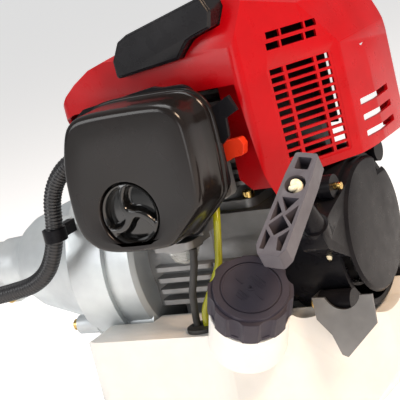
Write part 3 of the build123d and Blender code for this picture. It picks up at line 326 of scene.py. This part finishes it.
def makeFinish(name, s):
    shared = finishSettings
    mat = bpy.data.materials.new(name)
    mat.use_nodes = True
    join = mat.node_tree.links.new
    shader = mat.node_tree.nodes["Principled BSDF"]
    place = addNode(mat, "ShaderNodeTexCoord").outputs["Object"]
    patches = addNode(mat, "ShaderNodeTexNoise", Scale=shared["patchScale"], Detail=shared["patchDetail"])
    join(place, patches.inputs["Vector"])
    mix = addNode(mat, "ShaderNodeValToRGB")
    mix.color_ramp.elements[0].position = shared["patchFrom"]
    mix.color_ramp.elements[0].color = (*s["colour"], 1)
    mix.color_ramp.elements[1].position = shared["patchTo"]
    mix.color_ramp.elements[1].color = (*s["tint"], 1)
    join(patches.outputs["Fac"], mix.inputs["Fac"])
    join(mix.outputs["Color"], shader.inputs["Base Color"])
    smudge = addNode(mat, "ShaderNodeTexNoise", Scale=shared["smudgeScale"], Detail=shared["smudgeDetail"])
    join(place, smudge.inputs["Vector"])
    span = addNode(mat, "ShaderNodeMapRange")
    span.inputs["From Min"].default_value, span.inputs["From Max"].default_value = shared["smudgeSpan"]
    span.inputs["To Min"].default_value, span.inputs["To Max"].default_value = s["rough"]
    join(smudge.outputs["Fac"], span.inputs["Value"])
    join(span.outputs["Result"], shader.inputs["Roughness"])
    stretch = addNode(mat, "ShaderNodeMapping")
    stretch.inputs["Scale"].default_value = s.get("drawn", (1, 1, 1))
    join(place, stretch.inputs["Vector"])
    grain = addNode(mat, "ShaderNodeTexNoise", Scale=0.5 / s["grain"], Detail=shared["grainDetail"])
    join(stretch.outputs["Vector"], grain.inputs["Vector"])
    bump = addNode(mat, "ShaderNodeBump", Strength=s["bump"], Distance=s["grain"] * shared["grainHeight"])
    join(grain.outputs["Fac"], bump.inputs["Height"])
    join(bump.outputs["Normal"], shader.inputs["Normal"])
    shader.inputs["Metallic"].default_value = s.get("metallic", 0.0)
    shader.inputs["Specular IOR Level"].default_value = s.get("specular", 0.5)
    shader.inputs["Coat Weight"].default_value = s.get("coat", 0.0)
    shader.inputs["Coat Roughness"].default_value = shared["coatRough"]
    shader.inputs["Transmission Weight"].default_value = s.get("transmission", 0.0)
    shader.inputs["Subsurface Weight"].default_value = s.get("subsurface", 0.0)
    shader.inputs["Subsurface Radius"].default_value = shared["glowDepth"]
    return mat


paint = {name: makeFinish(name, s) for name, s in finishes.items()}
slotOf = {row["node"]: row["material_slot"] for row in frame["record"]["subparts"]}
bodyOf = {n: body for body, names in frame["record"]["behaviour"]["bodies"].items() for n in names}

for nodeName, nodeObject in frame["nodes"].items():
    for materialSlot in nodeObject.material_slots:
        materialSlot.material = paint[slotOf[nodeName]]
print("finishes made:", len(paint))


def dress(piece, *nodes):
    # a finished piece rides with its node's body, stands for the node and takes its finish
    slot = slotOf[nodes[0]]
    piece.data.materials.clear()
    piece.data.materials.append(paint[slot])
    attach(piece, bodyOf[nodes[0]])
    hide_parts(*nodes)


def smoothShade(piece, angle=40):
    piece.data.shade_smooth()
    piece.data.set_sharp_from_angle(angle=radians(angle))


# moulded and cast parts with eased edges

easedEdges = {
    # node: radius of the eased edge in millimetres
    "engine_shroud": 1.2, "plug_cover": 0.8, "recoil_housing": 0.9, "filter_base": 0.5, "tank_bracket": 0.35,
    "pull_handle": 0.55, "fan_cover": 0.7, "fan_housing": 0.7, "clutch_housing": 0.5, "crankcase_front": 0.5,
    "crankcase_rear": 0.5, "cylinder": 0.35, "carburettor": 0.5, "insulator": 0.8, "choke_lever": 0.8,
    "tank_grommet": 0.5, "muffler_guard": 0.5, "muffler": 0.5, "conduit_clip": 0.3, "throttle_lever": 0.3,
    "cable_connector": 0.6, "body_screws": 0.2, "fuel_tank": 3.0,
}


easeSettings = {
    "merge": 2e-6,
    "flat": radians(0.4),  # faces this close to one plane join
    "sharpest": radians(28),  # edges that turn more than this are eased
    "segments": 2,
    "smooth": 40,
}


def easeNode(node, radius):
    s = easeSettings
    bm = bmesh.new()
    bm.from_mesh(frame["nodes"][node].data)
    bmesh.ops.remove_doubles(bm, verts=bm.verts, dist=s["merge"])
    bmesh.ops.dissolve_limit(bm, angle_limit=s["flat"], verts=bm.verts, edges=bm.edges)
    piece = newPiece(node + "_eased", bm)
    bevel = piece.modifiers.new("ease", "BEVEL")
    bevel.width = radius / 1000
    bevel.segments = s["segments"]
    bevel.limit_method = "ANGLE"
    bevel.angle_limit = s["sharpest"]
    bevel.use_clamp_overlap = True
    smoothShade(piece, s["smooth"])
    dress(piece, node)


for easedNode, easeRadius in easedEdges.items():
    easeNode(easedNode, easeRadius)
print("eased parts:", len(easedEdges))

# small tools for built pieces


def smoothStep(a, b, v):
    t = min(1, max(0, (v - a) / (b - a)))
    return t * t * (3 - 2 * t)


def frameOn(origin, way, across):
    z = Vector(way).normalized()
    x = Vector(across)
    x = (x - z * z.dot(x)).normalized()
    return Matrix.Translation(origin) @ Matrix((x, z.cross(x), z)).transposed().to_4x4()


def skinLoops(bm, loops, closed=False):
    rings = [[bm.verts.new(p) for p in points] for points in loops]
    for here, there in zip(rings, rings[1:] + (rings[:1] if closed else [])):
        for corners in zip(here, here[1:] + here[:1], there[1:] + there[:1], there):
            bm.faces.new(corners)
    if not closed:
        bm.faces.new(rings[0])
        bm.faces.new(rings[-1])
    bmesh.ops.recalc_face_normals(bm, faces=bm.faces)


def circle(radius, height, steps=64):
    turns = [2 * pi * k / steps for k in range(steps)]
    return [(radius * cos(a), radius * sin(a), height) for a in turns]


def turnedPiece(name, profile, place, steps=64, closed=False):
    # profile is radius and height in millimetres, along the axis of place
    bm = bmesh.new()
    skinLoops(bm, [circle(r / 1000, h / 1000, steps) for r, h in profile], closed)
    bmesh.ops.transform(bm, matrix=place, verts=bm.verts)
    piece = newPiece(name, bm)
    smoothShade(piece)
    return piece


def boxPiece(name, size, place, ease=0.0002):
    # size in millimetres, ease in metres
    bm = bmesh.new()
    bmesh.ops.create_cube(bm, size=1)
    bmesh.ops.scale(bm, vec=[v / 1000 for v in size], verts=bm.verts)
    bmesh.ops.bevel(
        bm, geom=bm.edges[:], offset=ease, segments=2, profile=0.5, affect="EDGES", material=-1
    )
    bmesh.ops.transform(bm, matrix=place, verts=bm.verts)
    piece = newPiece(name, bm)
    smoothShade(piece)
    return piece


def addTrim(piece, body, slot):
    # a small piece that stands for no node
    piece.data.materials.clear()
    piece.data.materials.append(paint[slot])
    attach(piece, body)


# throttle cable conduit

conduitSettings = {
    "radius": 6.35,
    "ringPitch": 2.4,
    "ringDepth": 0.75,
    "run": [
        (-35, -71, 91), (-66, -73, 95), (-93, -78, 74), (-99, -78, 36), (-118, -78, 7), (-158, -78, 0),
        (-206, -85, -4), (-250, -96, -24), (-276, -108, -64), (-268, -120, -106), (-232, -129.5, -128.65),
        (-185, -130, -128.65),
    ],
    "coilCentre": (-185, -66),
    "coilRadius": 64,
    "coilPoints": 24,
    "tail": [
        (-239, -92, -128.65), (-227, -100, -128.65), (-209, -101, -128.4), (-194, -100, -128.0), (-179, -100, -128.0),
    ],
}


def curveOf(name, points, order=3):
    data = bpy.data.curves.new(name, "CURVE")
    data.dimensions = "3D"
    spline = data.splines.new("NURBS")
    spline.points.add(len(points) - 1)
    for target, p in zip(spline.points, points):
        target.co = (*p, 1)
    spline.order_u = order
    spline.use_endpoint_u = True
    spline.resolution_u = 12
    line = bpy.data.objects.new(name, data)
    bpy.context.collection.objects.link(line)
    return line


def pointsAlong(line):
    graph = bpy.context.evaluated_depsgraph_get()
    mesh = bpy.data.meshes.new_from_object(line.evaluated_get(graph))
    points = [v.co.copy() for v in mesh.vertices]
    bpy.data.meshes.remove(mesh)
    return points


def lengthOf(points):
    return sum((b - a).length for a, b in zip(points, points[1:]))


def bendTube(name, line, profile, steps, sides=16):
    # a straight turned tube laid along the line; profile gives the radius at a distance
    length = lengthOf(pointsAlong(line))
    bm = bmesh.new()
    bmesh.ops.create_circle(bm, segments=sides, radius=profile(0), cap_ends=False)
    bmesh.ops.rotate(bm, matrix=Matrix.Rotation(pi / 2, 3, "Y"), verts=bm.verts)
    ring = bm.edges[:]
    first = ring
    for k in range(1, steps + 1):
        grown = bmesh.ops.extrude_edge_only(bm, edges=ring)["geom"]
        verts = [g for g in grown if isinstance(g, bmesh.types.BMVert)]
        ring = [g for g in grown if isinstance(g, bmesh.types.BMEdge)]
        for v in verts:
            side = Vector((0, v.co.y, v.co.z)).normalized() * profile(length * k / steps)
            v.co = (length * k / steps, side.y, side.z)
    bmesh.ops.edgeloop_fill(bm, edges=first)
    bmesh.ops.edgeloop_fill(bm, edges=ring)
    bmesh.ops.recalc_face_normals(bm, faces=bm.faces)
    straight = newPiece(name + "_straight", bm)
    bend = straight.modifiers.new("bend", "CURVE")
    bend.object = line
    bpy.context.view_layer.update()
    graph = bpy.context.evaluated_depsgraph_get()
    mesh = bpy.data.meshes.new_from_object(straight.evaluated_get(graph))
    piece = bpy.data.objects.new(name, mesh)
    bpy.context.collection.objects.link(piece)
    bpy.data.objects.remove(straight)
    bpy.data.objects.remove(line)
    piece.data.shade_smooth()
    return piece


def layConduit(s):
    cx, cy = s["coilCentre"]
    ground = s["run"][-1][2]
    turn = [
        (cx + s["coilRadius"] * sin(a), cy - s["coilRadius"] * cos(a), ground)
        for a in (2 * pi * k / s["coilPoints"] for k in range(1, s["coilPoints"] - 3))
    ]
    line = curveOf("conduit_line", [at(*p) for p in s["run"] + turn + s["tail"]])
    path = pointsAlong(line)
    length = lengthOf(path)
    rings = round(length * 1000 / s["ringPitch"])

    def radius(distance):
        wave = 0.5 + 0.5 * cos(2 * pi * distance * 1000 / s["ringPitch"])
        return (s["radius"] - s["ringDepth"] * wave ** 1.5) / 1000

    tube = bendTube("conduit_tube", line, radius, rings * 4)
    dress(tube, "conduit", "conduit_coil")
    print("conduit length", round(length, 4), "start", [round(v, 4) for v in path[0]])


layConduit(conduitSettings)

# the red-sheathed inner wire, from the conduit's end to the throttle lever
wireSettings = {
    "radius": 0.9,
    "steps": 24,
    "sides": 10,
    "line": [(-40, -71, 91.2), (-33, -71, 90.8), (-24, -70.6, 91.4), (-14, -70.2, 92.3), (-7, -70, 92.6)],
}


def layWire(s):
    line = curveOf("throttle_wire_line", [at(*p) for p in s["line"]])
    wire = bendTube("throttle_wire", line, lambda distance: s["radius"] / 1000, s["steps"], s["sides"])
    addTrim(wire, "engine", "red_shell")


layWire(wireSettings)
print("cable laid")

# dark sheets inside the shroud: painted shade where the inside of the shroud lies in shadow
shadeSheetSettings = {
    "shade_sheet_side": dict(place=(57, -3, 104), size=(2, 70, 104), turn=-14),
    "shade_sheet_back": dict(place=(18, 43, 112), size=(112, 2, 90), turn=0),
}


# each sheet is a dark box that paints the shade inside the shroud
def addShadeSheet(name, place, size, turn):
    turned = Matrix.Translation(at(*place)) @ Matrix.Rotation(radians(turn), 4, "Z")
    addTrim(boxPiece(name, size, turned), "engine", "black_shell")


for shadeSheetName, shadeSheetValues in shadeSheetSettings.items():
    addShadeSheet(shadeSheetName, **shadeSheetValues)

# air filter cover and its knob

filterSettings = {
    "outline": [
        (-51.5, 71), (-50, 92), (-43, 115), (-36, 123.4), (-25, 126.4), (0, 127.1), (31, 126.8), (39.5, 124.2),
        (45.5, 119), (48.7, 112), (49.3, 103), (49.3, 84), (47.6, 62), (44, 55), (21, 36), (15, 33), (-8, 32),
        (-31, 33.4), (-42.5, 38.6), (-51, 51),
    ],
    "corner": 0.25,
    "steps": 128,
    "back": -84.0,
    "face": -120.0,
    "lip": 1.5,
    "wall": 2.2,
    "knobPlace": (-7, 58.5),
    "wellRadius": 21.8,
    "wellDepth": 8.5,
    "wellWall": 1.6,
    "hole": 6,
    "shoulder": [
        # outwards, y
        (-0.4, -104), (-0.6, -112), (-0.8, -115.4), (-1.4, -117.6), (-2.5, -119.1), (-4.0, -119.85),
    ],
}


def roundedOutline(points, corner, centre, steps):
    # cuts the corners three times, then takes points at even turns around the centre
    pts = [Vector(p) for p in points]
    for k in range(3):
        share = corner if k == 0 else 0.25
        pts = [p for a, b in zip(pts, pts[1:] + pts[:1]) for p in (a.lerp(b, share), a.lerp(b, 1 - share))]
    centre = Vector(centre)
    found = []
    for k in range(steps):
        ray = Vector((cos(2 * pi * k / steps), sin(2 * pi * k / steps)))
        for a, b in zip(pts, pts[1:] + pts[:1]):
            edge, out = b - a, a - centre
            turn = ray.x * edge.y - ray.y * edge.x
            if abs(turn) < 1e-9:
                continue
            far = (out.x * edge.y - out.y * edge.x) / turn
            along = (out.x * ray.y - out.y * ray.x) / turn
            if far > 0 and -1e-9 <= along <= 1 + 1e-9:
                found.append(centre + ray * far)
                break
    return found


def pushedOut(points, distance):
    moved = []
    for before, here, after in zip(points[-1:] + points[:-1], points, points[1:] + points[:1]):
        side = (after - before).normalized()
        moved.append(here + Vector((side.y, -side.x)) * distance)
    return moved


def buildFilterCover(s):
    base = roundedOutline(s["outline"], s["corner"], s["knobPlace"], s["steps"])
    kx, kz = s["knobPlace"]
    back, face, lip, wall = s["back"], s["face"], s["lip"], s["wall"]

    def layer(out, y):
        return [at(p.x, y, p.y) for p in pushedOut(base, out)]

    def roundLoop(radius, y):
        return [at(kx + radius * x, y, kz + radius * z) for x, z, h in circle(1, 0, s["steps"])]

    well = s["wellRadius"]
    floor = face + s["wellDepth"]
    inside = [
        roundLoop(s["hole"], floor + s["wellWall"]), roundLoop(well + 2.2, floor + s["wellWall"]),
        roundLoop(well + 2.2, face + wall), layer(-8, face + wall), layer(-wall - 0.6, face + 8),
        layer(-wall + lip, back),
    ]
    rim = [
        layer(lip - 0.6, back), layer(lip, back - 0.5), layer(lip, back - 2.2), layer(lip - 0.5, back - 2.8),
    ]
    bead = [
        layer(0.3, back - 3.0), layer(0.1, back - 3.6), layer(0.5, back - 4.2), layer(0.5, back - 6.4),
        layer(0.0, back - 7.0), layer(-0.3, back - 7.6),
    ]
    side = [layer(out, y) for out, y in s["shoulder"]] + [layer(-5.6, face), layer(-8.0, face)]
    knobWell = [
        roundLoop(well + 1.3, face), roundLoop(well + 0.5, face + 0.25), roundLoop(well, face + 0.9),
        roundLoop(well, floor), roundLoop(s["hole"], floor),
    ]
    bm = bmesh.new()
    skinLoops(bm, inside + rim + bead + side + knobWell)
    cover = newPiece("filter_cover_shell", bm)
    smoothShade(cover, 38)
    dress(cover, "filter_cover")


buildFilterCover(filterSettings)

knobSettings = {
    "radius": 21.0,
    "front": -120.7,
    "back": -112.4,
    "vanes": 3,
    "firstVane": radians(20),
    "swirl": radians(-55),
    "scoopDepth": 6.0,
    "steps": 120,
    "dome": 0.0045,  # fall of the front towards its edge, per square of the radius
    "edge": [(19.9, 1.95), (20.5, 2.5), (20.9, 3.4), (21.0, 4.4)],  # radius, distance behind the front
    "shank": [(5, -86), (3.2, -84), (3.2, -80.2)],  # radius, y
}


def buildKnob(s):
    kx, kz = filterSettings["knobPlace"]

    def scoop(r, turn):
        vane = s["firstVane"] + s["swirl"] * r / s["radius"]
        step = 2 * pi / s["vanes"]
        off = (turn - vane + step / 2) % step - step / 2
        wide = smoothStep(1.6, 4.6, r * abs(off))
        return s["scoopDepth"] * wide * smoothStep(3.0, 6.0, r) * smoothStep(19.4, 17.2, r)

    def ring(r, y, scooped):
        return [
            at(kx + r * cos(a), y + (scoop(r, a) if scooped else 0), kz + r * sin(a))
            for a in (2 * pi * k / s["steps"] for k in range(s["steps"]))
        ]

    radii = [0.8] + [1.6 + 0.75 * k for k in range(24)]
    crown = [ring(r, s["front"] + s["dome"] * r * r, True) for r in radii]
    edge = [ring(r, s["front"] + drop, False) for r, drop in s["edge"]]
    shank = [ring(r, y, False) for r, y in [(s["radius"], s["back"]), (5, s["back"])] + s["shank"]]
    bm = bmesh.new()
    skinLoops(bm, crown + edge + shank)
    knob = newPiece("knob_scooped", bm)
    smoothShade(knob, 50)
    dress(knob, "filter_knob")


buildKnob(knobSettings)
print("air filter cover and knob built")

# fuel cap, starter rope and knot

capSettings = {
    "top": (61, -110, 1),
    "way": (0.457, -0.470, 0.749),
    "across": (0.7, 0.7, 0),
    "turn": 24,
    "ease": 0.9,
    "ring": [(17.6, -0.3), (17.7, 0.1), (18.0, 0.3), (18.5, 0.3), (18.8, 0.1), (18.9, -0.3)],
    "vent": [(1.7, -0.3), (1.7, 0.3), (2.6, 0.3), (2.7, -0.3)],
    "barHeight": 0.7,
    "bars": [
        # across, along, length, width
        (-10.4, 0, 6, 0.9), (-8.2, 0, 8, 0.9), (-6.0, 0, 8, 0.9), (-1.5, -8.6, 6, 1.0), (-1.5, 8.4, 6, 1.0),
        (4.4, 0, 12, 0.9), (6.8, 0, 12, 0.9), (9.2, 0, 9, 0.9),
    ],
}


def buildCap(s):
    place = frameOn(at(*s["top"]), s["way"], s["across"])
    easeNode("fuel_cap", s["ease"])
    addTrim(turnedPiece("cap_ring", s["ring"], place, 96, True), "cap", "cap_plastic")
    addTrim(turnedPiece("cap_vent", s["vent"], place, 32, True), "cap", "cap_plastic")
    lines = place @ Matrix.Rotation(radians(s["turn"]), 4, "Z")
    for k, (x, y, length, width) in enumerate(s["bars"]):
        spot = lines @ Matrix.Translation((x / 1000, y / 1000, 0.0001))
        bar = boxPiece("cap_bar_" + str(k), (width, length, s["barHeight"]), spot)
        addTrim(bar, "cap", "cap_plastic")


buildCap(capSettings)

ropeSettings = {
    "base": (95, -72, 25),
    "way": (0.15, -0.6, 0.785),
    "grip": (0.133, 0.8, 0.586),
    "start": -36,
    "end": 38,
    "radius": 2.0,
    "strands": 3,
    "twistPitch": 9.0,
    "groove": 0.14,  # depth between the strands, a share of the radius
    "sides": 18,
    "joinFrom": 0.031,
    "joinTo": 0.038,
    "knotAt": 42.6,
    "knotRadius": 0.0018,
    "knotWide": 1.12,
    "knotDeep": 1.9,
}


def buildRope(s):
    place = frameOn(at(*s["base"]), s["way"], s["grip"])
    around = [2 * pi * j / s["sides"] for j in range(s["sides"])]
    loops = []
    for h in range(s["start"], s["end"] + 1):
        twist = 2 * pi * h / s["twistPitch"]
        radii = [s["radius"] * (1 - s["groove"] + s["groove"] * cos(s["strands"] * a - twist)) for a in around]
        loops.append([(r * cos(a) / 1000, r * sin(a) / 1000, h / 1000) for a, r in zip(around, radii)])
    bm = bmesh.new()
    skinLoops(bm, loops)
    bmesh.ops.transform(bm, matrix=place, verts=bm.verts)
    rope = newPiece("starter_rope_twisted", bm)
    rope.data.shade_smooth()
    rope.data.materials.append(paint["rope"])
    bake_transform(rope)
    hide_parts("starter_rope")

    # a trefoil knot
    turns = []
    for t in (2 * pi * k / 60 for k in range(61)):
        out = (2 + cos(3 * t)) * s["knotWide"]
        turns.append(Vector((out * cos(2 * t), out * sin(2 * t), s["knotDeep"] * sin(3 * t))) / 1000)
    centre = place @ Matrix.Translation((0, 0, s["knotAt"] / 1000))
    line = curveOf("knot_line", [centre @ p for p in turns], 4)
    knot = bendTube("rope_knot_tied", line, lambda distance: s["knotRadius"], 120, 12)
    dress(knot, "rope_knot")


buildRope(ropeSettings)
print("cap, rope and knot built")
